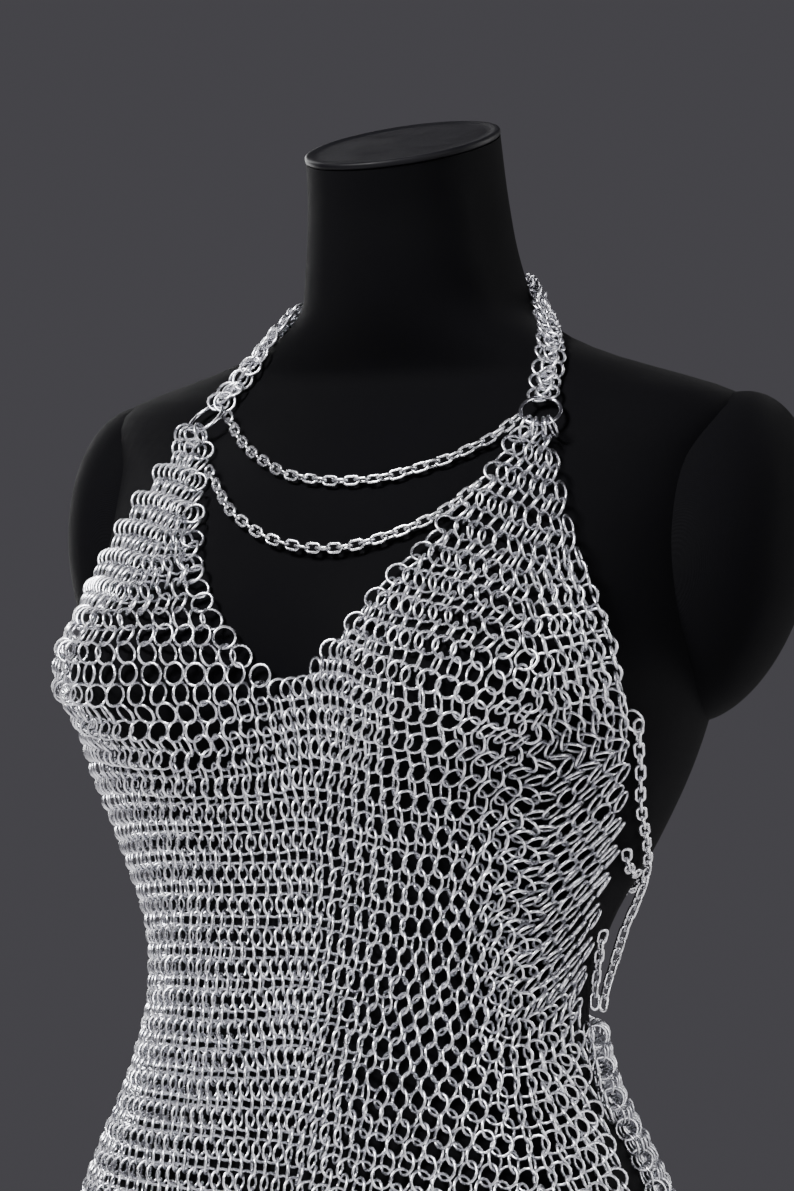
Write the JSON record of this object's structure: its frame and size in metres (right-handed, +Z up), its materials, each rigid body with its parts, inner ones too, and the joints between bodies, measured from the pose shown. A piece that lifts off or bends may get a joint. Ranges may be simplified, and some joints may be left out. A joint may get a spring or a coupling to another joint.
{
  "type": "chainmail dress on dress form",
  "caption": "Halter mini-dress of linked metal rings with side slits, an open back and chain trims, worn by a limbless dress form on a pole stand.",
  "frame": {"origin": "middle of the stand's underside, on the floor", "axes": "+Z up, the dress faces -Y, the wearer's left is +X"},
  "size_m": [0.4172, 0.33, 1.4871],
  "materials": {
    "jersey": "matte black stretch jersey",
    "cap_plate": "satin black plate",
    "stand_steel": "satin black",
    "mail": "bright, slightly satin",
    "chain": "bright"
  },
  "bodies": {
    "root": {"form_torso": "jersey", "form_arm_left": "jersey", "form_arm_right": "jersey", "form_neck_cap": "cap_plate", "stand_collar": "stand_steel", "stand_pole": "stand_steel", "stand_base": "stand_steel", "cup_left": "mail", "cup_right": "mail", "bodice_left": "mail", "bodice_right": "mail", "skirt_front_left": "mail", "skirt_front_right": "mail", "skirt_back": "mail", "side_join_left": "mail", "side_join_right": "mail", "halter_left": "mail", "halter_right": "mail", "o_ring_left": "chain", "o_ring_right": "chain", "nape_ring": "chain", "drape_chain_upper": "chain", "drape_chain_lower": "chain", "side_chain_left": "chain", "side_chain_right": "chain", "side_link_left": "chain", "side_link_right": "chain", "side_lace_left": "chain", "side_lace_right": "chain", "back_chain": "chain"}
  },
  "joints": []
}
